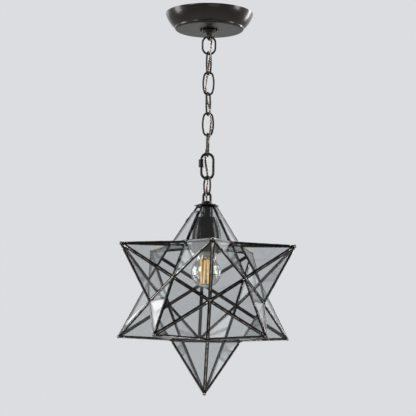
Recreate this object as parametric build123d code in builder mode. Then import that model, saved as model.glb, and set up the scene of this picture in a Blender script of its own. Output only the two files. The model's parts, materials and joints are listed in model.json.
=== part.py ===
from build123d import *
from math import atan2, cos, degrees, hypot, pi, radians, sin, sqrt, tan
import os

os.makedirs("parts", exist_ok=True)

# A glazed star lantern of twelve five-sided points, hung on a chain from a ceiling canopy.
# Origin: middle of the crossbar's slots, on the ceiling plane. +Z is up, the lamp hangs below.

# ---- canopy and its fixings (mm) ----
canopy_d = 132.0            # rim against the ceiling
canopy_depth = 25.5
canopy_floor_d = 98.0       # flat disc at the bottom of the pan
canopy_cove = 3.6           # hollow step between the bowl and the flat disc
canopy_lip = 1.4            # straight rim above the bowl
canopy_bulge = 1.8          # how far the bowl swells past a straight cone
canopy_wall = 0.9

bracket_length = 106.0
bracket_width = 16.0
bracket_thickness = 2.0
slot_spacing = 80.0         # centre to centre
slot_length = 16.0          # over its round ends
slot_width = 4.8
ground_screw_x = 18.0
ground_screw_r = 2.1
ground_screw_length = 9.0
ground_head_r = 4.2
ground_head_height = 2.2
screw_clearance = 0.1

nipple_r = 4.8              # threaded lamp tube
nipple_bore_r = 3.4
nipple_recess = 0.5         # its top end below the ceiling
nipple_grip = 10.0          # how deep it screws into the neck of the eye
thread_fit = 0.12           # on the radius, for what screws onto it
nut_across_flats = 15.0
nut_height = 3.0
seat_gap = 0.05             # between faces that are screwed together

neck_r = 9.2                # neck of the ceiling eye, through the canopy
neck_above = 9.0            # its height over the canopy floor
neck_below = 1.6            # what shows under the collar
collar_r = 14.0
collar_height = 3.4
collar_round = 0.9
loop_wire = 4.4
loop_width = 15.4
loop_drop = 13.8            # canopy floor to the middle of the eye's bar

# ---- chain ----
link_wire = 3.0
link_length = 37.5
link_width = 19.0
link_bend = 6.6             # centre-line radius of an oval link's ends
link_play = 0.3             # air between hanging bars
top_link_length = 30.0
top_link_width = 22.5
last_link_length = 31.5
quick_wire = 4.0
quick_length = 42.0
quick_width = 22.3
quick_gap = 5.0             # opening between the two ends of the wire
quick_nut_across = 7.6
quick_nut_length = 11.8
quick_nut_fit = 0.05
loop_turn = 64              # turn about Z of each eye or link, away from the X axis
star_loop_turn = 14
chain_rows = [              # name, length, width, wire, end radius, turn
    ("chain_link_1", top_link_length, top_link_width, link_wire, None, 0),
    ("chain_link_2", link_length, link_width, link_wire, link_bend, 62),
    ("chain_link_3", link_length, link_width, link_wire, link_bend, 0),
    ("chain_link_4", link_length, link_width, link_wire, link_bend, 64),
    ("chain_link_5", link_length, link_width, link_wire, link_bend, 0),
    ("chain_link_6", link_length, link_width, link_wire, link_bend, 78),
    ("quick_link", quick_length, quick_width, quick_wire, None, 8),
    ("chain_link_7", last_link_length, link_width, link_wire, link_bend, -58),
]

# ---- star ----
star_loop_wire = 3.8
star_loop_width = 15.0
star_loop_rise = 13.0       # top of the hub to the middle of the eye's bar
hub_r = 10.0
hub_neck_r = 7.6            # top of the bell-shaped hub
hub_height = 5.5
hub_rim = 0.8               # straight edge at its foot
hub_round = 0.5
hub_grip = 2.8              # how deep the star's nipple screws into the hub
plate_r = 19.8              # corner radius of the five-sided cap plate
plate_thickness = 1.5
plate_round = 1.2
plate_drop = 22.7           # sharp end of the top point to the underside of the plate

core_edge = 64.2            # edge of the twelve-sided core that the points stand on
apex_r = 151.2              # middle of the star to the sharp end of a point
came_depth = 2.4            # channel across the glass
came_face = 1.7             # its seen width on the glass
came_web = 0.5              # its closed side
glass_thickness = 1.6
glass_play = 0.1            # glass in the channel, on each side
seam_gap = 0.04             # solder line between neighbouring channels
tip_r = 2.6                 # solder bead on the end of a point
tip_height = 2.5
tip_rim = 0.4

door_vent = 9.5             # open strip above the door, along the glass
door_play = 0.4             # air under the door, so that its corner swings clear
door_corner = 4.0
barrel_r = 1.0              # door hinge
pin_r = 0.5
pin_fit = 0.06
barrel_clearance = 0.1
knuckle_count = 7
knuckle_length = 6.0
knuckle_gap = 0.3
hinge_height = 9.0          # lower end of the hinge, along the ridge
leaf_reach = 1.7
leaf_thickness = 0.4
catch_length = 7.0          # finger tab that rests on the next channel
catch_height = 40.0
catch_reach = 2.6
catch_air = 0.3

# ---- lamp holder and bulb ----
tube_r = 9.2                # spacer tube from the plate to the cup
tube_wall = 1.0
tube_length = 17.0
cup_r = 21.9
cup_top_r = 14.0
cup_shoulder = 34.0         # top of the cup to where its side hangs straight
cup_height = 53.0
cup_wall = 0.8
cup_edge = 0.6              # rounding of its top edge
cup_groove_start = 5.0      # rolled grooves around the shoulder
cup_groove_pitch = 2.0
cup_groove_count = 3
cup_groove_r = 0.3
socket_r = 17.0
socket_length = 36.0
socket_floor = 8.0
socket_setback = 2.0        # socket rim up inside the cup
socket_grip = 5.0           # star nipple into the socket's floor
shell_r = 13.75
shell_wall = 0.4
shell_length = 24.0
shell_fit = 0.15
tongue_r = 3.2
tongue_air = 0.2            # bulb contact to centre contact

globe_r = 22.5
globe_wall = 0.8
globe_drop = 29.5           # rim of the cup to the middle of the globe
globe_turn = 25             # degrees above the globe's middle where its neck starts
bulb_neck_r = 14.8
neck_foot = 0.6             # straight neck under the collar
bulb_collar_r = 15.4        # plastic collar between the glass and the cap
bulb_collar_height = 6.3
bulb_collar_rise = 1.0      # its top up inside the cup
bulb_collar_web = 1.0
bulb_cap_r = 13.1
bulb_cap_wall = 0.4
bulb_cap_length = 23.0
bulb_cap_seat = 1.0         # cap let into the collar
insulator_height = 2.4
insulator_base_r = 10.2
insulator_top_r = 4.0
stem_r = 3.2
stem_flange = 1.0
stem_length = 8.0
filament_r = 1.3
filament_length = 35.0
filament_count = 4
filament_ring_r = 7.6
filament_turn = 190.0       # upper end of the first strip
filament_twist = 14.0       # each strip's lower end, further around
support_r = 0.4             # wires that hold the strips
strip_gap = 0.12            # strip's end to its wire

cord_r = 1.6
corner_share = 0.45         # of the shorter run that a corner's curve takes up
# Twin cord: down the ceiling nipple, in and out of the chain, into the star's nipple.
cord_points = [
    (0, 0, -6),
    (0, 0, -29),
    (3.3, -5.4, -37.6),
    (2.2, -4.8, -60.6),
    (-1.6, 6.2, -91.8),
    (-5, 4.7, -123),
    (4.2, -6.1, -154.2),
    (3.8, -4.6, -185.4),
    (-5.2, 5.4, -216.4),
    (2.2, 6.2, -250.6),
    (-1.8, -5.7, -275.4),
    (0, 0, -286.5),
    (0.5, 0.2, -306),
]


def polar(radius, angle, z=0.0):
    return Vector(radius * cos(radians(angle)), radius * sin(radians(angle)), z)


def upright(turn, z=0.0):
    """Plane that stands on the Z axis, turned about it: its X is level and its Y is up."""
    return Plane(origin=(0, 0, z), x_dir=polar(1, turn), z_dir=polar(1, turn - 90))


def hex_nut(across, bore_r, height):
    nut = extrude(RegularPolygon(across / 2, 6, major_radius=False), amount=height)
    return nut - Pos(0, 0, height / 2) * Cylinder(bore_r, 2 * height)


def save(builder, name):
    builder.part.label = name
    export_step(builder.part, f"parts/{name}.step")


# ================= ceiling: canopy, crossbar, nipple, nuts, collar, eye =================
canopy_r = canopy_d / 2
canopy_floor_r = canopy_floor_d / 2
neck_hole_r = neck_r + thread_fit
with BuildPart() as canopy:
    with BuildSketch(Plane.XZ):
        with BuildLine():
            Line((canopy_r, 0), (canopy_r, -canopy_lip))
            SagittaArc(
                (canopy_r, -canopy_lip),
                (canopy_floor_r + canopy_cove, canopy_cove - canopy_depth),
                canopy_bulge,
            )
            RadiusArc(
                (canopy_floor_r + canopy_cove, canopy_cove - canopy_depth),
                (canopy_floor_r, -canopy_depth),
                canopy_cove,
            )
            Line((canopy_floor_r, -canopy_depth), (neck_hole_r, -canopy_depth))
            offset(amount=canopy_wall, side=Side.RIGHT)
        make_face()
    revolve(axis=Axis.Z)
save(canopy, "canopy")

slot_x = slot_spacing / 2
with BuildPart() as bracket:
    with BuildSketch(Plane.XY.offset(-bracket_thickness)):
        RectangleRounded(bracket_length, bracket_width, bracket_width / 4)
        with GridLocations(slot_spacing, 0, 2, 1):
            SlotOverall(slot_length, slot_width, mode=Mode.SUBTRACT)
        Circle(nipple_r + thread_fit, mode=Mode.SUBTRACT)
        with Locations((ground_screw_x, 0)):
            Circle(ground_screw_r + screw_clearance, mode=Mode.SUBTRACT)
    extrude(amount=bracket_thickness)
save(bracket, "mounting_bracket")

ground_seat = Plane(origin=(ground_screw_x, 0, -bracket_thickness - seat_gap))
with BuildPart() as ground_screw:
    with BuildSketch(ground_seat):
        Circle(ground_head_r)
    extrude(amount=-ground_head_height)
    fillet(ground_screw.faces().sort_by(Axis.Z)[0].edges(), ground_head_height / 3)
    with BuildSketch(ground_seat.offset(-ground_head_height)):
        Rectangle(2 * ground_head_r, ground_head_height / 3)
    extrude(amount=ground_head_height / 3, mode=Mode.SUBTRACT)
    with BuildSketch(ground_seat):
        Circle(ground_screw_r)
    extrude(amount=bracket_thickness + seat_gap)
save(ground_screw, "ground_screw")

floor_z = -canopy_depth
neck_top_z = floor_z + neck_above
nipple_bottom_z = neck_top_z - nipple_grip
with BuildPart() as canopy_nipple:
    with BuildSketch(Plane.XY.offset(nipple_bottom_z)):
        Circle(nipple_r)
        Circle(nipple_bore_r, mode=Mode.SUBTRACT)
    extrude(amount=-nipple_recess - nipple_bottom_z)
save(canopy_nipple, "canopy_nipple")

nut = hex_nut(nut_across_flats, nipple_r + thread_fit, nut_height)
bracket_nut_z = -bracket_thickness - seat_gap - nut_height
with BuildPart() as nipple_nuts:
    with Locations((0, 0, bracket_nut_z), (0, 0, neck_top_z + seat_gap)):
        add(nut)
save(nipple_nuts, "nipple_nuts")

with BuildPart() as collar:
    with BuildSketch(Plane.XY.offset(floor_z - seat_gap - collar_height)):
        Circle(collar_r)
        Circle(neck_r + thread_fit, mode=Mode.SUBTRACT)
    extrude(amount=collar_height)
    rims = collar.edges().filter_by(GeomType.CIRCLE).group_by(SortBy.RADIUS)[-1]
    fillet(rims, collar_round)
save(collar, "screw_collar")


def eye(turn, bar_z, root_z, width, wire):
    """Bent wire of a chain eye: a half ring at bar_z, with both legs running to root_z."""
    bend = (width - wire) / 2
    up = 1 if root_z > bar_z else -1
    plane = upright(turn, bar_z + up * bend)
    leg = root_z - bar_z - up * bend
    with BuildPart() as wire_eye:
        with BuildLine(plane) as path:
            Line((-bend, leg), (-bend, 0))
            ThreePointArc((-bend, 0), (0, -up * bend), (bend, 0))
            Line((bend, 0), (bend, leg))
        with BuildSketch(Plane(origin=path.wire() @ 0, z_dir=path.wire() % 0)):
            Circle(wire / 2)
        sweep(path=path.wire())
    return wire_eye.part


loop_bar_z = floor_z - loop_drop
neck_bottom_z = floor_z - seat_gap - collar_height - neck_below
with BuildPart() as canopy_loop:
    with BuildSketch(Plane.XY.offset(neck_bottom_z)):
        Circle(neck_r)
    extrude(amount=neck_top_z - neck_bottom_z)
    fillet(canopy_loop.faces().sort_by(Axis.Z)[0].edges(), neck_below / 2)
    add(eye(loop_turn, loop_bar_z, neck_bottom_z + neck_below, loop_width, loop_wire))
    with BuildSketch(Plane.XY.offset(neck_top_z)):
        Circle(nipple_r + thread_fit)
    extrude(amount=-nipple_grip - 2 * seat_gap, mode=Mode.SUBTRACT)
    with BuildSketch(Plane.XY.offset(neck_bottom_z)):
        Circle(nipple_bore_r)
    extrude(amount=neck_top_z - neck_bottom_z, mode=Mode.SUBTRACT)
save(canopy_loop, "canopy_loop")


# ================= chain =================
def oval_path(length, width, bend):
    """Half of a link's centre line, top to bottom on its +X side; the ends turn by bend."""
    half_l, half_w = length / 2, width / 2
    if bend is None:
        straight = half_l - half_w
        ThreePointArc(
            (0, half_l),
            (half_w * sin(radians(45)), straight + half_w * cos(radians(45))),
            (half_w, straight),
        )
        Line((half_w, straight), (half_w, -straight))
        ThreePointArc(
            (half_w, -straight),
            (half_w * sin(radians(45)), -straight - half_w * cos(radians(45))),
            (0, -half_l),
        )
        return
    rise = half_l - bend
    side = (half_w**2 + rise**2 - bend**2) / (2 * (half_w - bend))
    lean = degrees(atan2(rise, side - half_w))
    side_centre = half_w - side
    CenterArc((0, rise), bend, lean, 90 - lean)
    CenterArc((side_centre, 0), side, -lean, 2 * lean)
    CenterArc((0, -rise), bend, -90, 90 - lean)


def chain_link(turn, mid_z, length, width, wire, bend):
    plane = upright(turn, mid_z)
    with BuildPart() as link:
        with BuildLine(plane) as half:
            oval_path(length - wire, width - wire, bend)
        with BuildSketch(Plane(origin=half.wire() @ 0, z_dir=plane.x_dir)):
            Circle(wire / 2)
        sweep(path=half.wire())
        mirror(about=Plane(origin=plane.origin, z_dir=plane.x_dir))
    return link.part


upper_bar_z, upper_wire = loop_bar_z, loop_wire
for name, length, width, wire, bend, turn in chain_rows:
    top_bar_z = upper_bar_z + upper_wire / 2 + wire / 2 + link_play
    mid_z = top_bar_z - (length - wire) / 2
    upper_bar_z, upper_wire = top_bar_z - (length - wire), wire
    with BuildPart() as link:
        add(chain_link(turn, mid_z, length, width, wire, bend))
        if name == "quick_link":
            quick_plane = upright(turn, mid_z)
            quick_side = (width - wire) / 2
            straight = (length - width) / 2
            nut_top = straight - seat_gap
            gap_top = nut_top - (quick_nut_length - quick_gap) / 2
            with BuildSketch(quick_plane):
                with Locations((-quick_side, gap_top - quick_gap / 2)):
                    Rectangle(2 * wire, quick_gap)
            extrude(amount=wire, both=True, mode=Mode.SUBTRACT)
    save(link, name)

nut_base = Plane(
    origin=quick_plane.from_local_coords((-quick_side, nut_top - quick_nut_length)),
    z_dir=(0, 0, 1),
)
with BuildPart() as quick_nut:
    with BuildSketch(nut_base):
        RegularPolygon(quick_nut_across / 2, 6, major_radius=False)
        Circle(quick_wire / 2 + quick_nut_fit, mode=Mode.SUBTRACT)
    extrude(amount=quick_nut_length)
save(quick_nut, "quick_link_nut")


# ================= head of the star: eye, cap plate, nipple, spacer tube =================
star_bar_z = upper_bar_z + upper_wire / 2 + star_loop_wire / 2 + link_play
hub_top_z = star_bar_z - star_loop_rise
plate_top_z = hub_top_z - hub_height
plate_under_z = plate_top_z - plate_thickness
star_z = plate_under_z - (apex_r - plate_drop)
star_nipple_top_z = plate_top_z + hub_grip
hub_foot_z = plate_top_z + seat_gap
with BuildPart() as star_loop:
    with BuildSketch(Plane.XZ):
        with BuildLine():
            Line((0, hub_top_z), (hub_neck_r, hub_top_z))
            TangentArc((hub_neck_r, hub_top_z), (hub_r, hub_foot_z + hub_rim), tangent=(0, -1))
            Line((hub_r, hub_foot_z + hub_rim), (hub_r, hub_foot_z))
            Line((hub_r, hub_foot_z), (0, hub_foot_z))
            Line((0, hub_foot_z), (0, hub_top_z))
        make_face()
    revolve(axis=Axis.Z)
    fillet(star_loop.faces().sort_by(Axis.Z)[-1].edges(), hub_round)
    add(eye(star_loop_turn, star_bar_z, hub_top_z - hub_height / 4, star_loop_width, star_loop_wire))
    with BuildSketch(Plane.XY.offset(plate_top_z)):
        Circle(nipple_r + thread_fit)
    extrude(amount=hub_grip + seat_gap, mode=Mode.SUBTRACT)
    with BuildSketch(Plane.XY.offset(plate_top_z)):
        Circle(nipple_bore_r)
    extrude(amount=hub_height + seat_gap, mode=Mode.SUBTRACT)
save(star_loop, "star_loop")

ridge_turn = -54            # a ridge of the top point; the front point looks along -Y
with BuildPart() as cap_plate:
    with BuildSketch(Plane.XY.offset(plate_under_z)):
        RegularPolygon(plate_r, 5, rotation=ridge_turn)
        fillet(vertices(), plate_round)
        Circle(nipple_r + thread_fit, mode=Mode.SUBTRACT)
    extrude(amount=plate_thickness)
save(cap_plate, "cap_plate")

cup_top_z = plate_under_z - tube_length
cup_rim_z = cup_top_z - cup_height
socket_rim_z = cup_rim_z + socket_setback
socket_top_z = socket_rim_z + socket_length
star_nipple_bottom_z = socket_top_z - socket_grip
with BuildPart() as star_nipple:
    with BuildSketch(Plane.XY.offset(star_nipple_bottom_z)):
        Circle(nipple_r)
        Circle(nipple_bore_r, mode=Mode.SUBTRACT)
    extrude(amount=star_nipple_top_z - star_nipple_bottom_z)
save(star_nipple, "star_nipple")

with BuildPart() as spacer_tube:
    with BuildSketch(Plane.XY.offset(cup_top_z + seat_gap)):
        Circle(tube_r)
        Circle(tube_r - tube_wall, mode=Mode.SUBTRACT)
    extrude(amount=tube_length - 2 * seat_gap)
save(spacer_tube, "spacer_tube")

cup_nut_z = cup_top_z - cup_wall - seat_gap - nut_height
with BuildPart() as cup_nut:
    with Locations((0, 0, cup_nut_z)):
        add(nut)
save(cup_nut, "cup_nut")

cup_swell = cup_r - cup_top_r
shoulder_r = (cup_swell**2 + cup_shoulder**2) / (2 * cup_swell)
shoulder_z = cup_top_z - cup_shoulder


def cup_radius(z):
    """Outside of the cup's shoulder at a height."""
    return cup_r - shoulder_r + sqrt(shoulder_r**2 - (z - shoulder_z) ** 2)


with BuildPart() as socket_cup:
    with BuildSketch(Plane.XZ):
        with BuildLine():
            Line((nipple_r + thread_fit, cup_top_z), (cup_top_r, cup_top_z))
            ThreePointArc(
                (cup_top_r, cup_top_z),
                (cup_radius(cup_top_z - cup_shoulder / 2), cup_top_z - cup_shoulder / 2),
                (cup_r, shoulder_z),
            )
            Line((cup_r, shoulder_z), (cup_r, cup_rim_z))
            offset(amount=cup_wall, side=Side.RIGHT)
        make_face()
    revolve(axis=Axis.Z)
    top_edges = socket_cup.edges().filter_by(GeomType.CIRCLE).group_by(Axis.Z)[-1]
    fillet(top_edges.sort_by(SortBy.RADIUS)[-1], cup_edge)
    for row in range(cup_groove_count):
        groove_z = cup_top_z - cup_groove_start - row * cup_groove_pitch
        with Locations((0, 0, groove_z)):
            Torus(cup_radius(groove_z), cup_groove_r, mode=Mode.SUBTRACT)
save(socket_cup, "socket_cup")

cavity_top_z = socket_top_z - socket_floor
with BuildPart() as socket_body:
    with BuildSketch(Plane.XY.offset(socket_rim_z)):
        Circle(socket_r)
        Circle(shell_r + shell_fit, mode=Mode.SUBTRACT)
    extrude(amount=cavity_top_z - socket_rim_z)
    with BuildSketch(Plane.XY.offset(cavity_top_z)):
        Circle(socket_r)
    extrude(amount=socket_floor)
    with BuildSketch(Plane.XY.offset(socket_top_z)):
        Circle(nipple_r + thread_fit)
    extrude(amount=-socket_grip - seat_gap, mode=Mode.SUBTRACT)
    fillet(socket_body.faces().sort_by(Axis.Z)[-1].outer_wire().edges(), socket_floor / 4)
save(socket_body, "socket_body")

star_mid = (0, 0, star_z)
globe_z = cup_rim_z - globe_drop
collar_top_z = cup_rim_z + bulb_collar_rise
collar_bottom_z = collar_top_z - bulb_collar_height
bulb_cap_bottom_z = collar_top_z - bulb_cap_seat
bulb_glass_top_z = bulb_cap_bottom_z - bulb_collar_web - 2 * seat_gap
bulb_cap_top_z = bulb_cap_bottom_z + bulb_cap_length
bulb_tip_z = bulb_cap_top_z + insulator_height
with BuildPart() as screw_shell:
    with BuildSketch(Plane.XY.offset(cavity_top_z - seat_gap - shell_length)):
        Circle(shell_r)
        Circle(shell_r - shell_wall, mode=Mode.SUBTRACT)
    extrude(amount=shell_length)
    with BuildSketch(Plane.XY.offset(bulb_tip_z + tongue_air)):
        Circle(tongue_r)
    extrude(amount=cavity_top_z - seat_gap - bulb_tip_z - tongue_air)
save(screw_shell, "screw_shell")


# ================= bulb =================
neck_foot_z = collar_bottom_z - neck_foot


def globe(wall):
    """The bulb's glass, solid, with its skin taken in by wall."""
    r = globe_r - wall
    c, s = cos(radians(globe_turn)), sin(radians(globe_turn))
    shoulder = (r * c, globe_z + r * s)
    neck = bulb_neck_r - wall
    with BuildPart() as body:
        with BuildSketch(Plane.XZ):
            with BuildLine():
                ThreePointArc((0, globe_z - r), (r, globe_z), shoulder)
                Spline(shoulder, (neck, neck_foot_z), tangents=((-s, c), (0, 1)))
                Line((neck, neck_foot_z), (neck, bulb_glass_top_z))
                Line((neck, bulb_glass_top_z), (0, bulb_glass_top_z))
                Line((0, bulb_glass_top_z), (0, globe_z - r))
            make_face()
        revolve(axis=Axis.Z)
    return body.part


with BuildPart() as bulb_glass:
    add(globe(0))
    add(globe(globe_wall), mode=Mode.SUBTRACT)
save(bulb_glass, "bulb_glass")

with BuildPart() as bulb_collar:
    with BuildSketch(Plane.XY.offset(collar_bottom_z)):
        Circle(bulb_collar_r)
        Circle(bulb_cap_r - bulb_cap_wall, mode=Mode.SUBTRACT)
    extrude(amount=bulb_collar_height)
    with BuildSketch(Plane.XY.offset(collar_bottom_z)):
        Circle(bulb_neck_r + glass_play)
    extrude(amount=bulb_glass_top_z + seat_gap - collar_bottom_z, mode=Mode.SUBTRACT)
    with BuildSketch(Plane.XY.offset(bulb_cap_bottom_z - seat_gap)):
        Circle(bulb_cap_r + glass_play)
    extrude(amount=bulb_cap_seat + seat_gap, mode=Mode.SUBTRACT)
save(bulb_collar, "bulb_collar")

cap_bore = bulb_cap_length - bulb_cap_r + insulator_base_r - bulb_cap_wall
with BuildPart() as bulb_cap:
    with BuildSketch(Plane.XY.offset(bulb_cap_bottom_z)):
        Circle(bulb_cap_r)
    extrude(amount=bulb_cap_length)
    chamfer(bulb_cap.faces().sort_by(Axis.Z)[-1].edges(), bulb_cap_r - insulator_base_r)
    with BuildSketch(Plane.XY.offset(bulb_cap_bottom_z)):
        Circle(bulb_cap_r - bulb_cap_wall)
    extrude(amount=cap_bore, mode=Mode.SUBTRACT)
save(bulb_cap, "bulb_cap")

with BuildPart() as insulator:
    with BuildSketch(Plane.XZ):
        with BuildLine():
            Polyline(
                (0, bulb_cap_top_z + seat_gap),
                (insulator_base_r, bulb_cap_top_z + seat_gap),
                (insulator_top_r, bulb_tip_z - insulator_height / 4),
                (insulator_top_r, bulb_tip_z),
                (0, bulb_tip_z),
                close=True,
            )
        make_face()
    revolve(axis=Axis.Z)
save(insulator, "bulb_insulator")

flange_r = bulb_neck_r - globe_wall - glass_play
flange_z = bulb_glass_top_z - stem_flange
stem_bottom_z = flange_z - stem_length
with BuildPart() as bulb_stem:
    with BuildSketch(Plane.XY.offset(flange_z)):
        Circle(flange_r)
    extrude(amount=stem_flange)
    with BuildSketch(Plane.XY.offset(stem_bottom_z)):
        Circle(stem_r)
    extrude(amount=stem_length)
save(bulb_stem, "bulb_stem")



def rod(start, end, radius):
    with BuildPart() as wire:
        with BuildSketch(Plane(origin=start, z_dir=end - start)):
            Circle(radius)
        extrude(amount=(end - start).length)
    return wire.part


upper_wire_z = stem_bottom_z - seat_gap - support_r
lower_wire_z = upper_wire_z - 2 * support_r - 2 * strip_gap - filament_length
strip_ends = []
for number in range(filament_count):
    angle = filament_turn + 360 / filament_count * number
    upper = polar(filament_ring_r, angle, upper_wire_z)
    lower = polar(filament_ring_r, angle + filament_twist, lower_wire_z)
    strip_ends.append((upper, lower))

with BuildPart() as supports:
    for upper, lower in strip_ends:
        add(rod(Vector(0, 0, upper_wire_z), upper, support_r))
    for (_, lower), (_, next_lower) in zip(strip_ends[::2], strip_ends[1::2]):
        add(rod(lower, next_lower, support_r))
save(supports, "bulb_supports")

with BuildPart() as filaments:
    for upper, lower in strip_ends:
        inset = (lower - upper).normalized() * (support_r + strip_gap)
        add(rod(upper + inset, lower - inset, filament_r))
save(filaments, "bulb_filaments")


# ================= star: channels, glass, solder beads =================
core_in_r = core_edge / 2 * sqrt((25 + 11 * sqrt(5)) / 10)
base_corner_r = core_edge / 2 / sin(radians(36))
base_in_r = core_edge / 2 / tan(radians(36))
point_height = apex_r - core_in_r
slant = hypot(point_height, base_in_r)
face_lean = degrees(atan2(base_in_r, point_height))
apex_half = degrees(atan2(core_edge / 2, slant))
core_dihedral = degrees(2 * atan2((1 + sqrt(5)) / 2, 1))


def face_plane(number):
    """One side of a point that stands on +Z: origin on its base edge, Y up the glass."""
    angle = 36 + 72 * number
    level = polar(base_in_r, angle, core_in_r)
    outward = polar(cos(radians(face_lean)), angle, sin(radians(face_lean)))
    return Plane(origin=level, x_dir=polar(1, angle + 90), z_dir=outward)


fold = face_plane(0).z_dir.get_angle(face_plane(1).z_dir)
ridge_half = radians(180 - fold) / 2                        # inside a ridge
valley_half = radians(180 - core_dihedral / 2 - (90 - face_lean))
ridge_inset = came_depth / 2 / tan(ridge_half) + seam_gap / 2
valley_inset = came_depth / 2 / tan(valley_half) + seam_gap / 2


def half_width(y, inset):
    return (slant - y) * tan(radians(apex_half)) - inset / cos(radians(apex_half))


def pane_shape(inset, top=None, corner=0.0, play=0.0):
    """A side's outline taken in by inset; cut level at top where the point is cut short."""
    bottom_y = valley_inset + play + inset
    edge = ridge_inset + inset
    low = half_width(bottom_y, edge)
    if top is None:
        tip_y = slant - edge / sin(radians(apex_half))
        Polygon((-low, bottom_y), (low, bottom_y), (0, tip_y), align=None)
        return
    top_y = top - inset
    high = half_width(top_y, edge)
    Polygon((-low, bottom_y), (low, bottom_y), (high, top_y), (-high, top_y), align=None)
    if corner > inset:
        fillet(vertices().group_by(Axis.Y)[-1], corner - inset)


def came_ring(top=None, corner=0.0, play=0.0):
    """Soldered channel around one pane, lying flat with its groove inside."""
    with BuildPart() as ring:
        with BuildSketch():
            pane_shape(0, top, corner, play)
        extrude(amount=came_depth / 2, both=True)
        with BuildSketch():
            pane_shape(came_face, top, corner, play)
        extrude(amount=came_depth / 2, both=True, mode=Mode.SUBTRACT)
        with BuildSketch():
            pane_shape(came_web, top, corner, play)
        extrude(amount=glass_thickness / 2 + glass_play, both=True, mode=Mode.SUBTRACT)
    return ring.part


def pane(top=None, corner=0.0, play=0.0):
    with BuildPart() as glass:
        with BuildSketch():
            pane_shape(came_web + glass_play, top, corner, play)
        extrude(amount=glass_thickness / 2, both=True)
    return glass.part


with BuildPart() as bead:
    with BuildSketch():
        Circle(tip_r)
    extrude(amount=tip_height)
    fillet(bead.faces().sort_by(Axis.Z)[-1].edges(), tip_height - tip_rim)

came_end = ridge_inset / sin(radians(apex_half))
lean = radians(face_lean)
bead_seat = apex_r - came_end * cos(lean) + came_depth / 2 * sin(lean) + seat_gap

core_lift = atan2(1, 2)                     # a ring point's axis above the level
full_points = [("bottom_point", Plane(origin=star_mid, x_dir=polar(1, -90), z_dir=(0, 0, -1)))]
rings = [("upper_point", -90, 1), ("lower_point", ridge_turn, -1)]
for number in range(5):
    for ring_name, first, side in rings:
        around = first + 72 * number
        axis = polar(cos(core_lift), around, side * sin(core_lift))
        corner_way = polar(sin(core_lift), around, -side * cos(core_lift))
        point = Plane(origin=star_mid, x_dir=corner_way, z_dir=axis)
        full_points.append((f"{ring_name}_{number + 1}", point))

full_came, full_pane = came_ring(), pane()
for name, point in full_points:
    sides = [point.location * face_plane(number).location for number in range(5)]
    with BuildPart() as cames:
        with Locations(*sides):
            add(full_came)
    save(cames, f"{name}_cames")
    with BuildPart() as panes:
        with Locations(*sides):
            add(full_pane)
    save(panes, f"{name}_glass")

with BuildPart() as beads:
    with Locations(*[point.offset(bead_seat).location for name, point in full_points]):
        add(bead.part)
save(beads, "solder_beads")


# ================= top point, cut short under the plate, with its door =================
top_point = Plane(origin=star_mid, x_dir=polar(1, ridge_turn), z_dir=(0, 0, 1))
under = plate_under_z - star_z - core_in_r - seat_gap
cut_y = (under - came_depth / 2 * sin(lean)) / cos(lean)
door_y = cut_y - door_vent
door_side = 3               # the side between the front-left and the outer-left ridges
top_sides = [top_point.location * face_plane(number).location for number in range(5)]
fixed_sides = top_sides[:door_side] + top_sides[door_side + 1:]


def ridge_plane(number, along):
    """Section across a ridge, along mm up from its foot: Y outwards, X to the lower-numbered side."""
    foot = polar(base_corner_r, 72 * number, core_in_r)
    up = (Vector(0, 0, apex_r) - foot).normalized()
    outward = (face_plane(number - 1).z_dir + face_plane(number).z_dir).normalized()
    section = Plane(origin=foot + up * along, x_dir=outward.cross(up), z_dir=up)
    return top_point.location * section.location


groove_half = pi / 2 - ridge_half
axis_height = (barrel_r + barrel_clearance) / sin(groove_half) - came_depth / 2 / cos(groove_half)


def on_side(hand, along, height):
    """Point of a section by its reach down a side and its height off the glass's middle."""
    c, s = cos(groove_half), sin(groove_half)
    return (hand * (along * c + height * s), height * c - along * s)


leaf_start, leaf_end = -axis_height * sin(groove_half), ridge_inset + leaf_reach
leaf_low, leaf_high = came_depth / 2, came_depth / 2 + leaf_thickness
leaf_corners = [
    (leaf_start, leaf_low),
    (leaf_end, leaf_low),
    (leaf_end, leaf_high),
    (leaf_start, leaf_high),
]


def knuckle(hand, index):
    """One barrel of the hinge with its leaf; hand 1 is the door's side, -1 the next side's."""
    base = hinge_height + index * (knuckle_length + knuckle_gap)
    with BuildPart() as barrel:
        with BuildSketch():
            with Locations((0, axis_height)):
                Circle(barrel_r)
            Polygon(*[on_side(hand, *corner) for corner in leaf_corners], align=None)
            with Locations((0, axis_height)):
                Circle(pin_r + pin_fit, mode=Mode.SUBTRACT)
        extrude(amount=knuckle_length)
    return barrel.part.moved(ridge_plane(door_side + 1, base))


top_came, top_pane = came_ring(cut_y), pane(cut_y)
with BuildPart() as top_cames:
    with Locations(*fixed_sides):
        add(top_came)
    for index in range(0, knuckle_count, 2):
        add(knuckle(-1, index))
save(top_cames, "top_point_cames")

with BuildPart() as top_glass:
    with Locations(*fixed_sides):
        add(top_pane)
save(top_glass, "top_point_glass")

tab_low, tab_high = leaf_low + catch_air, leaf_high + catch_air


def bend_point(own, other):
    """Where the offset lines of the two sides of a section cross, the door on the -X side."""
    return ((other - own) / (2 * sin(groove_half)), (other + own) / (2 * cos(groove_half)))


with BuildPart() as catch:
    with BuildSketch():
        Polygon(
            on_side(-1, leaf_end, leaf_low),
            bend_point(leaf_low, tab_low),
            on_side(1, ridge_inset + catch_reach, tab_low),
            on_side(1, ridge_inset + catch_reach, tab_high),
            bend_point(leaf_high, tab_high),
            on_side(-1, leaf_end, leaf_high),
            align=None,
        )
    extrude(amount=catch_length)

with BuildPart() as door_frame:
    with Locations(top_sides[door_side]):
        add(came_ring(door_y, door_corner, door_play))
    for index in range(1, knuckle_count, 2):
        add(knuckle(1, index))
    add(catch.part.moved(ridge_plane(door_side, catch_height)))
save(door_frame, "door_frame")

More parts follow.
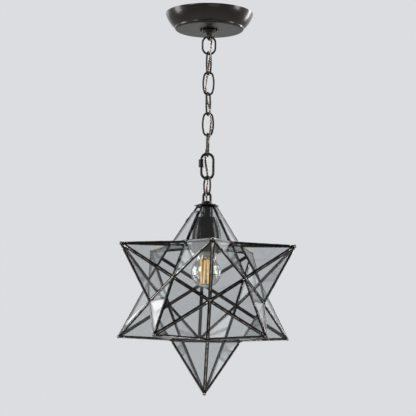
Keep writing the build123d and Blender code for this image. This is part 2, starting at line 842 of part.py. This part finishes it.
with BuildPart() as door_glass:
    with Locations(top_sides[door_side]):
        add(pane(door_y, door_corner, door_play))
save(door_glass, "door_glass")

hinge_length = knuckle_count * knuckle_length + (knuckle_count - 1) * knuckle_gap
with BuildPart() as hinge_pin:
    with BuildSketch():
        with Locations((0, axis_height)):
            Circle(pin_r)
    extrude(amount=hinge_length)
hinge_pin.part = hinge_pin.part.moved(ridge_plane(door_side + 1, hinge_height))
save(hinge_pin, "hinge_pin")


# ================= cord =================
corners = []
for before, here, after in zip(cord_points, cord_points[1:], cord_points[2:]):
    run_in, run_out = Vector(here) - Vector(before), Vector(after) - Vector(here)
    half_turn = radians(run_in.get_angle(run_out)) / 2
    corners.append(corner_share * min(run_in.length, run_out.length) / tan(half_turn))
with BuildPart() as cord:
    with BuildLine() as route:
        FilletPolyline(*cord_points, radius=corners)
    with BuildSketch(Plane(origin=route.wire() @ 0, z_dir=route.wire() % 0)):
        Circle(cord_r)
    sweep(path=route.wire())
save(cord, "supply_cord")
print("cord radii", [round(r, 1) for r in corners])
cord_length = route.wire().length
print("cord length", cord_length, "volume", cord.part.volume, pi * cord_r**2 * cord_length)
hinge_axis = ridge_plane(door_side + 1, hinge_height)
print("star middle", star_z, "door hinge", hinge_axis * Pos(0, axis_height, 0))
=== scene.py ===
import json
import math
import bmesh
import bpy
from itertools import combinations
from mathutils import Matrix, Vector


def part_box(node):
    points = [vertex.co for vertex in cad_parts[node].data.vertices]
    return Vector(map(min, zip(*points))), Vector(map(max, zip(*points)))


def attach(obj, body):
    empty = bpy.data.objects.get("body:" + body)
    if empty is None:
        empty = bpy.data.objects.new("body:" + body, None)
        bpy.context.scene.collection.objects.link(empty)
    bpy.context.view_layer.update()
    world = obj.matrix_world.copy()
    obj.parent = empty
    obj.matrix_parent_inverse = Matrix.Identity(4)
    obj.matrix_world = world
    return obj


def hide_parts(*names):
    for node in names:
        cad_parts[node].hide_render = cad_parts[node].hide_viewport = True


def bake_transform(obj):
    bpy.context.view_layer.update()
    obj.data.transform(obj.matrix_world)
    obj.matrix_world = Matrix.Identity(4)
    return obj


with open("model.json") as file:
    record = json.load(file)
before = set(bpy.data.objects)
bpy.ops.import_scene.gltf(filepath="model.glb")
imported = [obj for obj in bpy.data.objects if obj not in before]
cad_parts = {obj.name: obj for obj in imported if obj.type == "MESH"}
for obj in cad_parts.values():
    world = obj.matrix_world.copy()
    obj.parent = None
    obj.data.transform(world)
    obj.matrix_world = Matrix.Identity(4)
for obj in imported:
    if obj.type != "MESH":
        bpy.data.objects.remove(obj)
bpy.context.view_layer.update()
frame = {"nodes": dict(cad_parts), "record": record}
nodes = frame["nodes"]
mm = 0.001

# the photograph's view, fitted to the star's tips
cameraView = {
    "place": (-0.1386, -2.0744, -0.5308),   # metres
    "heading": 86.13,       # degrees, 90 looks along +Y
    "pitch": 6.43,          # degrees, looking up
    "roll": 0.77,
    "focalPixels": 1400.0,  # in a picture as wide as picturePixels
    "picturePixels": 416.0,
    "sensor": 36.0,         # millimetres
    "farthest": 50.0,       # metres
}


def makeCamera(view):
    heading, pitch, roll = (math.radians(view[k]) for k in ("heading", "pitch", "roll"))
    forward = Vector((
        math.cos(heading) * math.cos(pitch),
        math.sin(heading) * math.cos(pitch),
        math.sin(pitch),
    ))
    level = Vector((math.sin(heading), -math.cos(heading), 0))
    up = level.cross(forward)
    right = level * math.cos(roll) + up * math.sin(roll)
    up = right.cross(forward)
    data = bpy.data.cameras.new("photoCamera")
    data.sensor_width = view["sensor"]
    data.lens = view["sensor"] * view["focalPixels"] / view["picturePixels"]
    data.clip_end = view["farthest"]
    camera = bpy.data.objects.new("photoCamera", data)
    turn = Matrix((right, up, -forward)).transposed().to_4x4()
    camera.matrix_world = Matrix.Translation(view["place"]) @ turn
    bpy.context.scene.collection.objects.link(camera)
    bpy.context.scene.camera = camera


makeCamera(cameraView)
print("camera placed")


def linear(code):
    # a colour written as #rrggbb, in the linear values that a shader takes
    values = [int(code[k:k + 2], 16) / 255 for k in (1, 3, 5)]
    return [v / 12.92 if v <= 0.04045 else ((v + 0.055) / 1.055) ** 2.4 for v in values] + [1.0]


def addNode(tree, kind, settings=None, links=None):
    # the name or number of a socket sets or links that socket, any other name sets the node itself
    node = tree.nodes.new(kind)
    for name, value in (settings or {}).items():
        if isinstance(name, int) or name in node.inputs:
            node.inputs[name].default_value = value
        else:
            setattr(node, name, value)
    for name, source in (links or {}).items():
        tree.links.new(source, node.inputs[name])
    return node


def startMaterial(name):
    material = bpy.data.materials.new(name)
    material.use_nodes = True
    material.node_tree.nodes.clear()
    return material, material.node_tree


def finishMaterial(material, tree, surface):
    addNode(tree, "ShaderNodeOutputMaterial", links={"Surface": surface})
    return material


def seenRays(tree):
    # 1 for what the camera sees, straight or through glass
    path = addNode(tree, "ShaderNodeLightPath").outputs
    seen = addNode(
        tree, "ShaderNodeMath", {"operation": "MAXIMUM"},
        {0: path["Is Camera Ray"], 1: path["Is Transmission Ray"]},
    )
    return seen.outputs["Value"]


def mottle(tree, patchMm, detail, breakUp, dark, light, between=(0.0, 1.0)):
    # patches of patchMm, and the colour that wanders with them from dark to light
    point = addNode(tree, "ShaderNodeTexCoord").outputs["Object"]
    noise = addNode(
        tree, "ShaderNodeTexNoise",
        {"Scale": 1000 / patchMm, "Detail": detail, "Roughness": breakUp}, {"Vector": point},
    )
    ramp = addNode(tree, "ShaderNodeValToRGB", links={"Fac": noise.outputs["Fac"]})
    for stop, colour, place in zip(ramp.color_ramp.elements, (dark, light), between):
        stop.color = linear(colour)
        stop.position = place
    return noise.outputs["Fac"], ramp.outputs["Color"]


def grainBump(tree, sizeMm, depthMm, detail=3.0):
    # lumps of sizeMm that stand depthMm proud
    point = addNode(tree, "ShaderNodeTexCoord").outputs["Object"]
    noise = addNode(
        tree, "ShaderNodeTexNoise", {"Scale": 1000 / sizeMm, "Detail": detail}, {"Vector": point},
    )
    bump = addNode(
        tree, "ShaderNodeBump", {"Strength": 1.0, "Distance": depthMm * mm}, {"Height": noise.outputs["Fac"]},
    )
    return bump.outputs["Normal"]


def bakedEnamel(name, dark, light):
    # enamel baked on steel: soft sheen under a clear skin, a faint orange peel, a little dust in the tone
    material, tree = startMaterial(name)
    patches, colour = mottle(tree, 16.67, 6.0, 0.5, dark, light)
    rough = addNode(tree, "ShaderNodeMapRange", {"To Min": 0.26, "To Max": 0.34}, {"Value": patches})
    shader = addNode(
        tree, "ShaderNodeBsdfPrincipled",
        {"Metallic": 0.6, "Coat Weight": 0.4, "Coat Roughness": 0.16},
        {"Base Color": colour, "Roughness": rough.outputs["Result"], "Normal": grainBump(tree, 1.2, 0.004)},
    )
    return finishMaterial(material, tree, shader.outputs["BSDF"])


def patinatedMetal(name, dark, light, glossy, dull, lumpMm, lumpDepthMm):
    # metal turned black with copper sulphate and waxed: brown and silver show where it is rubbed
    material, tree = startMaterial(name)
    patches, colour = mottle(tree, 7.14, 8.0, 0.65, dark, light, (0.38, 0.72))
    rough = addNode(tree, "ShaderNodeMapRange", {"To Min": glossy, "To Max": dull}, {"Value": patches})
    lumps = grainBump(tree, lumpMm, lumpDepthMm)
    shader = addNode(
        tree, "ShaderNodeBsdfPrincipled",
        {"Metallic": 1.0, "Coat Weight": 0.6, "Coat Roughness": 0.12},
        {"Base Color": colour, "Roughness": rough.outputs["Result"], "Normal": lumps},
    )
    return finishMaterial(material, tree, shader.outputs["BSDF"])


def bareMetal(name, dark, light, roughness):
    # plated or pressed sheet and drawn wire: clean metal with faint handling marks
    material, tree = startMaterial(name)
    colour = mottle(tree, 4.55, 5.0, 0.5, dark, light)[1]
    shader = addNode(
        tree, "ShaderNodeBsdfPrincipled",
        {"Metallic": 1.0, "Roughness": roughness},
        {"Base Color": colour, "Normal": grainBump(tree, 1.2, 0.01)},
    )
    return finishMaterial(material, tree, shader.outputs["BSDF"])


def mouldedPiece(name, colour, roughness):
    # moulded in one dense colour, with a fine grain from the mould's wall
    material, tree = startMaterial(name)
    shader = addNode(
        tree, "ShaderNodeBsdfPrincipled",
        {"Base Color": linear(colour), "Roughness": roughness},
        {"Normal": grainBump(tree, 0.6, 0.01)},
    )
    return finishMaterial(material, tree, shader.outputs["BSDF"])


def clearPiece(name, colour, rippleMm, depthMm, ior, coatIor):
    # drawn, blown or extruded clear: a slow ripple bends what it mirrors
    material, tree = startMaterial(name)
    shader = addNode(
        tree, "ShaderNodeBsdfPrincipled",
        {
            "Base Color": linear(colour), "Roughness": 0.0, "IOR": ior, "Transmission Weight": 1.0,
            "Coat Weight": 1.0, "Coat Roughness": 0.0, "Coat IOR": coatIor,
        },
        {"Normal": grainBump(tree, rippleMm, depthMm, 1.0)},
    )
    # light and reflections from behind it go straight through, tinted on the way
    straight = addNode(tree, "ShaderNodeBsdfTransparent", {"Color": linear(colour)})
    surface = addNode(
        tree, "ShaderNodeMixShader",
        links={0: seenRays(tree), 1: straight.outputs["BSDF"], 2: shader.outputs["BSDF"]},
    )
    return finishMaterial(material, tree, surface.outputs["Shader"])


def phosphor(name, colour):
    # silicone loaded with amber phosphor: waxy and slightly see-through, with a painted glow that stands in
    # for light falling on it
    material, tree = startMaterial(name)
    shader = addNode(
        tree, "ShaderNodeBsdfPrincipled",
        {
            "Base Color": linear(colour), "Roughness": 0.4, "Subsurface Weight": 0.3,
            # painted glow: the emission brightens the strips in place of light reaching them
            "Subsurface Scale": 0.001, "Emission Color": linear(colour), "Emission Strength": 1.1,
        },
    )
    return finishMaterial(material, tree, shader.outputs["BSDF"])


# canopy, chain and socket cup
enamel = bakedEnamel("darkBronzeBakedEnamel", "#14110e", "#26201c")
# frames and cap plate, then the solder on their seams, whose crests are rubbed bright
patina = patinatedMetal("blackPatinaBrassChannel", "#141211", "#332e2a", 0.18, 0.3, 2.5, 0.02)
solder = patinatedMetal("rubbedPatinaSolder", "#2b2826", "#c2bdb6", 0.08, 0.2, 4.0, 0.08)
# hardware, screw shell, bulb cap and the cord's two strands
zinc = bareMetal("zincPlatedSteel", "#9c9fa3", "#b9bcc0", 0.35)
brass = bareMetal("pressedBrass", "#b08a45", "#c9a35c", 0.28)
nickel = bareMetal("nickelPlatedCap", "#a8a49a", "#c4c0b6", 0.25)
copper = bareMetal("copperStrand", "#6d4a3a", "#8c6350", 0.4)
tinned = bareMetal("tinnedStrand", "#7d7d7b", "#a3a3a0", 0.4)
# socket body, bulb collar, and the glossy insulator at the bulb cap's end
phenolic = mouldedPiece("mouldedPhenolic", "#141313", 0.45)
ivory = mouldedPiece("mouldedIvoryPlastic", "#e6e2d6", 0.35)
insulator = mouldedPiece("blackInsulator", "#0c0c0e", 0.12)
# a pane is too thin to shift what is behind it, so its body has an IOR of 1 and its coat mirrors
sheetGlass = clearPiece("clearSheetGlass", "#e6e8e8", 70.0, 0.012, 1.0, 1.6)
# the globe's coat has an IOR above that of glass, for the photograph's strong white reflections
blownGlass = clearPiece("clearBlownGlass", "#fbfbf8", 30.0, 0.01, 1.5, 2.4)
vinyl = clearPiece("clearVinyl", "#d9d2c8", 6.0, 0.02, 1.5, 1.5)
# the filament strips, with a painted glow
amber = phosphor("amberPhosphor", "#ffc860")

slotMaterials = {
    "bronze_enamel": enamel,
    "blackened_brass": patina,
    "blackened_solder": patina,
    "zinc_steel": zinc,
    "phenolic": phenolic,
    "brass_shell": brass,
    "nickel_shell": nickel,
    "black_glass_insulator": insulator,
    "bulb_glass": blownGlass,
    "star_glass": sheetGlass,
    "amber_phosphor": amber,
    "pale_plastic": ivory,
    "clear_cord": vinyl,
}
for part in frame["record"]["subparts"]:
    data = nodes[part["node"]].data
    data.materials.clear()
    data.materials.append(slotMaterials[part["material_slot"]])
nodes["solder_beads"].data.materials[0] = solder
print("materials set on", len(nodes), "CAD nodes")


def finishPiece(name, bm, materials):
    mesh = bpy.data.meshes.new(name)
    bm.to_mesh(mesh)
    bm.free()
    for material in materials:
        mesh.materials.append(material)
    piece = bpy.data.objects.new(name, mesh)
    bpy.context.scene.collection.objects.link(piece)
    return piece


# the frames, nuts and plates of the CAD, with their sharp edges drawn round
edgeFinish = {
    "frameRound": 0.42,     # millimetres
    "smallPieces": [        # node, body, slot, rounding in millimetres
        ("quick_link_nut", "quick_nut", "bronze_enamel", 0.35),
        ("cap_plate", "star", "blackened_brass", 0.35),
        ("cup_nut", "star", "zinc_steel", 0.3),
        ("nipple_nuts", "ceiling", "zinc_steel", 0.3),
        ("mounting_bracket", "ceiling", "zinc_steel", 0.3),
    ],
    "weld": 0.002,          # millimetres, joins the corners of the CAD's loose triangles
    "flatAngle": 1.0,       # degrees, triangles this level are one flat side
    "sharpAngle": 40.0,     # degrees, edges sharper than this are rounded
    "segments": 3,
}


def roundEdges(node, body, slotName, roundMm):
    bm = bmesh.new()
    bm.from_mesh(nodes[node].data)
    bmesh.ops.remove_doubles(bm, verts=bm.verts, dist=edgeFinish["weld"] * mm)
    bmesh.ops.dissolve_limit(
        bm, angle_limit=math.radians(edgeFinish["flatAngle"]), verts=bm.verts, edges=bm.edges,
    )
    sharpAngle = math.radians(edgeFinish["sharpAngle"])
    sharp = [e for e in bm.edges if e.is_manifold and e.is_convex and e.calc_face_angle() > sharpAngle]
    bmesh.ops.bevel(
        bm, geom=sharp, offset=roundMm * mm, offset_type="OFFSET", segments=edgeFinish["segments"],
        profile=0.5, affect="EDGES", clamp_overlap=True, material=-1,
    )
    for face in bm.faces:
        face.smooth = True
    name = "".join(word.capitalize() for word in node.split("_"))
    piece = finishPiece("rounded" + name, bm, [slotMaterials[slotName]])
    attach(piece, body)
    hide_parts(node)


frameNodes = [n for n in sorted(nodes) if n.endswith("_cames")]
for node in frameNodes:
    roundEdges(node, "star", "blackened_solder", edgeFinish["frameRound"])
roundEdges("door_frame", "door", "blackened_solder", edgeFinish["frameRound"])
for smallPiece in edgeFinish["smallPieces"]:
    roundEdges(*smallPiece)
print("edges rounded on", len(frameNodes) + 1 + len(edgeFinish["smallPieces"]), "pieces")

# solder: a bead run along every ridge and valley, and a blob where three points meet
starSolder = {
    "middle": -422.0,       # millimetres, as in the CAD
    "apex": 151.2,
    "coreEdge": 64.2,
    "rings": [(-90, 1), (-54, -1)],     # azimuth of a first point, above or below the middle
    "ridgeRadius": 1.22,
    "ridgeStart": 1.5,      # left free at the foot
    "ridgeEnd": 6.0,        # left free under the tip's bead
    "cutRidgeEnd": 29.5,    # on the point that ends under the cap plate
    "valleyRadius": 1.2,
    "valleyLift": 0.45,     # outwards, so that it stands in the corner of the two frames
    "blobRadius": 2.1,
    "blobLift": 1.012,      # share of the corner's distance at which a blob sits
    "blobFlat": 0.75,
    "doorRidges": (162.0, 234.0),   # azimuths on the top point that the door leaves free
    "dripRidge": 306.0,     # a drip of solder stands on this one
    "dripShare": 0.453,     # how far up it
    "sides": 12,
    "lumps": 9,             # rings along a run that swell and shrink
    "lumpDepth": 0.16,
    "lumpWaves": (0.55, 0.21),      # radians per millimetre, the two waves that the swelling is made of
    "lumpShift": 1.7,       # radians that the first wave moves on from run to run
}


def pointAxes():
    # the way each of the star's twelve points looks
    lift = math.atan(0.5)
    axes = [Vector((0, 0, 1)), Vector((0, 0, -1))]
    for number in range(5):
        for first, side in starSolder["rings"]:
            around = math.radians(first + 72 * number)
            axes.append(Vector((
                math.cos(around) * math.cos(lift),
                math.sin(around) * math.cos(lift),
                side * math.sin(lift),
            )))
    return axes


def coreCorners(axes):
    # a corner of the twelve-sided core lies between three neighbouring points
    near = math.cos(math.radians(70))   # neighbours stand 63.4 degrees apart
    reach = starSolder["coreEdge"] * math.sqrt(3) * (1 + math.sqrt(5)) / 4
    found = {}
    for trio in combinations(range(len(axes)), 3):
        if all(axes[a].dot(axes[b]) > near for a, b in combinations(trio, 2)):
            found[trio] = sum((axes[k] for k in trio), Vector()).normalized() * reach
    return found


def joinInto(whole, part):
    mesh = bpy.data.meshes.new("joining")
    part.to_mesh(mesh)
    part.free()
    whole.from_mesh(mesh)
    bpy.data.meshes.remove(mesh)


def solderRun(whole, start, end, radius, seed):
    # a rod between two points in millimetres, with the slow swelling of hand-run solder
    run = end - start
    rod = bmesh.new()
    bmesh.ops.create_cone(
        rod, cap_ends=True, segments=starSolder["sides"], radius1=radius, radius2=radius, depth=run.length,
    )
    sides = [e for e in rod.edges if abs(e.verts[0].co.z - e.verts[1].co.z) > run.length / 2]
    bmesh.ops.subdivide_edges(rod, edges=sides, cuts=starSolder["lumps"])
    quick, slow = starSolder["lumpWaves"]
    for vert in rod.verts:
        along = vert.co.z
        wave = math.sin(seed * starSolder["lumpShift"] + along * quick) * math.sin(along * slow + seed)
        swell = 1 + starSolder["lumpDepth"] * wave
        vert.co.x *= swell
        vert.co.y *= swell
    turn = run.to_track_quat("Z", "Y").to_matrix().to_4x4()
    bmesh.ops.transform(rod, matrix=Matrix.Translation((start + end) / 2) @ turn, verts=rod.verts)
    joinInto(whole, rod)


def solderBlob(bm, place, flat):
    made = bmesh.ops.create_icosphere(bm, subdivisions=2, radius=starSolder["blobRadius"])
    turn = place.normalized().to_track_quat("Z", "Y").to_matrix().to_4x4()
    squash = Matrix.Diagonal((1, 1, flat, 1))
    bmesh.ops.transform(bm, matrix=Matrix.Translation(place) @ turn @ squash, verts=made["verts"])


def nearAzimuth(corner, azimuths):
    # within 5 degrees of one of them
    own = math.degrees(math.atan2(corner.y, corner.x)) % 360
    return min(abs(own - a) for a in azimuths) < 5


def ridgeRuns(axes, corners):
    # each corner of the core sends a ridge up its three points, but the door stays free of solder
    runs, blobs = bmesh.new(), bmesh.new()
    for number, (trio, corner) in enumerate(corners.items()):
        for point in trio:
            tip = axes[point] * starSolder["apex"]
            along = (tip - corner).normalized()
            free = starSolder["ridgeEnd"]
            if point == 0:
                if nearAzimuth(corner, starSolder["doorRidges"]):
                    continue
                free = starSolder["cutRidgeEnd"]
                if nearAzimuth(corner, [starSolder["dripRidge"]]):
                    solderBlob(blobs, corner.lerp(tip, starSolder["dripShare"]), 1.0)
            solderRun(
                runs, corner + along * starSolder["ridgeStart"], tip - along * free,
                starSolder["ridgeRadius"], number + 3 * point,
            )
        solderBlob(blobs, corner * starSolder["blobLift"], starSolder["blobFlat"])
    return runs, blobs


def valleyRuns(corners):
    # a valley joins two corners that share two points
    runs = bmesh.new()
    keys = list(corners)
    for number, first in enumerate(keys):
        for second in keys[number + 1:]:
            if len(set(first) & set(second)) == 2:
                start, end = corners[first], corners[second]
                out = (start + end).normalized() * starSolder["valleyLift"]
                solderRun(runs, start + out, end + out, starSolder["valleyRadius"], number)
    return runs


def finishSolder(name, bm):
    # from millimetres about the star's middle to metres in its place
    bmesh.ops.transform(bm, matrix=Matrix.Diagonal((mm, mm, mm, 1)), verts=bm.verts)
    bmesh.ops.translate(bm, verts=bm.verts, vec=(0, 0, starSolder["middle"] * mm))
    for face in bm.faces:
        face.smooth = True
    piece = finishPiece(name, bm, [solder])
    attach(piece, "star")


starAxes = pointAxes()
starCorners = coreCorners(starAxes)
ridgeBeads, cornerBlobs = ridgeRuns(starAxes, starCorners)
finishSolder("ridgeSolder", ridgeBeads)
finishSolder("valleySolder", valleyRuns(starCorners))
finishSolder("cornerSolder", cornerBlobs)
print("solder run from", len(starCorners), "corners along the ridges and valleys")

# twin lead laced through the chain, cut into one length for every link
cordLead = {
    "points": [             # the CAD's route, in millimetres
        (0, 0, -6),
        (0, 0, -29),
        (3.3, -5.4, -37.6),
        (2.2, -4.8, -60.6),
        (-1.6, 6.2, -91.8),
        (-5, 4.7, -123),
        (4.2, -6.1, -154.2),
        (3.8, -4.6, -185.4),
        (-5.2, 5.4, -216.4),
        (2.2, 6.2, -250.6),
        (-1.8, -5.7, -275.4),
        (0, 0, -286.5),
        (0.5, 0.2, -306),
    ],
    "lobe": 0.85 * mm,      # radius of each insulated half
    "strand": 0.55 * mm,
    "turns": 3.5,           # how often the flat lead turns over along its length
    "pointSteps": 12,       # steps of the curve for each point of the route
    "roundSteps": 3,        # steps of the section for each quarter turn
    "weld": 0.001 * mm,
    "chain": [              # node and body of each link that it is laced through
        ("chain_link_1", "link_1"),
        ("chain_link_2", "link_2"),
        ("chain_link_3", "link_3"),
        ("chain_link_4", "link_4"),
        ("chain_link_5", "link_5"),
        ("chain_link_6", "link_6"),
        ("quick_link", "quick_link"),
        ("chain_link_7", "link_7"),
    ],
    "leavesEye": -31.0,     # millimetres, the top given for its first length
    "entersStar": -286.5,   # the bottom given for its last length
}


def routePoints(points):
    curve = bpy.data.curves.new("cordRoute", "CURVE")
    curve.dimensions = "3D"
    spline = curve.splines.new("NURBS")
    spline.points.add(len(points) - 1)
    for place, point in zip(spline.points, points):
        place.co = (*(Vector(point) * mm), 1)
    spline.order_u = 3
    spline.use_endpoint_u = True
    spline.resolution_u = cordLead["pointSteps"]
    holder = bpy.data.objects.new("cordRoute", curve)
    line = bpy.data.meshes.new_from_object(holder)
    found = [v.co.copy() for v in line.vertices]
    bpy.data.objects.remove(holder)
    bpy.data.meshes.remove(line)
    return found


def leadMesh(line, side, radius):
    # a round tube that stands one lobe to the side of the route and turns about it
    curve = bpy.data.curves.new("lead", "CURVE")
    curve.dimensions = "3D"
    curve.bevel_depth = radius
    curve.bevel_resolution = cordLead["roundSteps"]
    curve.use_fill_caps = True
    spline = curve.splines.new("POLY")
    spline.points.add(len(line) - 1)
    for number, point in enumerate(line):
        ahead = line[min(number + 1, len(line) - 1)] - line[max(number - 1, 0)]
        across = ahead.cross(Vector((0, 1, 0))).normalized()
        turn = Matrix.Rotation(2 * math.pi * cordLead["turns"] * number / len(line), 3, ahead)
        spline.points[number].co = (*(point + turn @ across * side * cordLead["lobe"]), 1)
    holder = bpy.data.objects.new("lead", curve)
    mesh = bpy.data.meshes.new_from_object(holder)
    bpy.data.objects.remove(holder)
    return mesh


def cordMesh():
    # two halves side by side, each with its strand inside; slots 0, 1 and 2 are vinyl, copper and tinned
    line = routePoints(cordLead["points"])
    bm = bmesh.new()
    for side, strandSlot in ((-1, 1), (1, 2)):
        for radius, slotNumber in ((cordLead["lobe"], 0), (cordLead["strand"], strandSlot)):
            before = len(bm.faces)
            bm.from_mesh(leadMesh(line, side, radius))
            bm.faces.ensure_lookup_table()
            for face in bm.faces[before:]:
                face.material_index = slotNumber
                face.smooth = True
    bmesh.ops.remove_doubles(bm, verts=bm.verts, dist=cordLead["weld"])
    return bm


def bendLengths():
    # each length runs from the middle of one link to the middle of the next, so that is where it is cut
    bodies, heights = ["ceiling"], [cordLead["leavesEye"] * mm]
    for node, body in cordLead["chain"]:
        low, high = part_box(node)
        bodies.append(body)
        heights.append((low.z + high.z) / 2)
    bodies.append("star")
    heights.append(cordLead["entersStar"] * mm)
    return list(zip(bodies, bodies[1:], heights, heights[1:]))


def cutAway(bm, height, way):
    # what lies above the height is cut off, or below it where the way is -1
    bmesh.ops.bisect_plane(
        bm, geom=[*bm.verts, *bm.edges, *bm.faces],
        plane_co=(0, 0, height), plane_no=(0, 0, way), clear_outer=True,
    )


wholeCord = cordMesh()
cordLengths = bendLengths()
for number, (above, below, top, bottom) in enumerate(cordLengths):
    length = wholeCord.copy()
    if number > 0:
        cutAway(length, top, 1)
    if number < len(cordLengths) - 1:
        cutAway(length, bottom, -1)
    bmesh.ops.holes_fill(length, edges=[e for e in length.edges if e.is_boundary])
    lead = finishPiece(f"lacedLead{number + 1}", length, [vinyl, copper, tinned])
    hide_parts("supply_cord")
    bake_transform(lead)
wholeCord.free()
print("cord laced in", len(cordLengths), "lengths")

studio = {
    "floor": -2.4,          # metres under the ceiling plane
    "floorSize": 60.0,
    "floorColour": "#d9d9d6",
    "floorGlow": 0.5,       # share of the backdrop's paleness in what the camera sees of it
    "sky": "#dcdde0",
    "skyLight": 0.7,        # what the room gives the object
    "roomFront": 0.2,       # what shiny surfaces see of the room on the camera's side
    "roomTurn": (-0.2, 0.7),        # along Y, where the dim front gives way to the pale back
    "lamps": [              # name, place, size, watts
        ("keySoftbox", (-1.5, -1.3, 0.35), (0.5, 1.2), 12.0),
        ("rimSoftbox", (1.7, -0.5, 0.1), (0.45, 1.5), 20.0),
        ("leftStrip", (-1.9, 0.2, -0.1), (0.6, 1.5), 22.0),
        ("rightStrip", (1.5, 1.1, 0.1), (0.3, 1.5), 16.0),
        ("backSoftbox", (0.4, 1.6, 1.3), (1.0, 0.7), 8.0),
        ("paneSoftbox", (-1.06, 1.55, 0.19), (0.36, 0.42), 0.6),
        ("fillSoftbox", (0.3, -2.6, -1.0), (1.2, 0.5), 2.0),
    ],
    "aim": (0, 0, -0.35),
}


def floorPaint():
    # matt paint that takes the shadow, lifted towards the backdrop where the camera sees it
    material, tree = startMaterial("paleFloorPaint")
    paint = addNode(
        tree, "ShaderNodeBsdfPrincipled", {"Base Color": linear(studio["floorColour"]), "Roughness": 0.9},
    )
    glow = addNode(tree, "ShaderNodeEmission", {"Color": linear(studio["sky"]), "Strength": 1.0})
    share = addNode(
        tree, "ShaderNodeMath", {"operation": "MULTIPLY", 1: studio["floorGlow"]}, {0: seenRays(tree)},
    )
    surface = addNode(
        tree, "ShaderNodeMixShader",
        links={0: share.outputs["Value"], 1: paint.outputs["BSDF"], 2: glow.outputs["Emission"]},
    )
    return finishMaterial(material, tree, surface.outputs["Shader"])


def layFloor():
    bm = bmesh.new()
    bmesh.ops.create_grid(bm, x_segments=1, y_segments=1, size=studio["floorSize"] / 2)
    bmesh.ops.translate(bm, verts=bm.verts, vec=(0, 0, studio["floor"]))
    finishPiece("studioFloor", bm, [floorPaint()])


def makeRoom():
    # the pale backdrop stands behind the lamp, and shiny surfaces see a dimmer room in front of it
    world = bpy.data.worlds.new("studioWorld")
    bpy.context.scene.world = world
    world.use_nodes = True
    sky = world.node_tree
    sky.nodes.clear()
    path = addNode(sky, "ShaderNodeLightPath").outputs
    way = addNode(sky, "ShaderNodeTexCoord").outputs["Generated"]
    split = addNode(sky, "ShaderNodeSeparateXYZ", links={"Vector": way})
    front, back = studio["roomTurn"]
    mirrored = addNode(
        sky, "ShaderNodeMapRange",
        {"From Min": front, "From Max": back, "To Min": studio["roomFront"], "To Max": 1.0},
        {"Value": split.outputs["Y"]},
    )
    light = addNode(
        sky, "ShaderNodeMix", {"data_type": "FLOAT", "A": studio["skyLight"]},
        {"Factor": path["Is Glossy Ray"], "B": mirrored.outputs["Result"]},
    )
    strength = addNode(
        sky, "ShaderNodeMath", {"operation": "MAXIMUM"}, {0: light.outputs["Result"], 1: seenRays(sky)},
    )
    backdrop = addNode(
        sky, "ShaderNodeBackground",
        {"Color": linear(studio["sky"])}, {"Strength": strength.outputs["Value"]},
    )
    addNode(sky, "ShaderNodeOutputWorld", links={"Surface": backdrop.outputs["Background"]})


def hangLamp(name, place, size, watts):
    lamp = bpy.data.lights.new(name, "AREA")
    lamp.shape = "RECTANGLE"
    lamp.size, lamp.size_y = size
    lamp.energy = watts
    holder = bpy.data.objects.new(name, lamp)
    aim = Vector(studio["aim"]) - Vector(place)
    turn = aim.to_track_quat("-Z", "Y").to_matrix().to_4x4()
    holder.matrix_world = Matrix.Translation(place) @ turn
    holder.visible_transmission = False     # not seen through the glass from other sides
    bpy.context.scene.collection.objects.link(holder)


layFloor()
makeRoom()
for studioLamp in studio["lamps"]:
    hangLamp(*studioLamp)
bpy.context.scene.view_settings.view_transform = "Standard"
print("studio lit by", len(studio["lamps"]), "lamps")
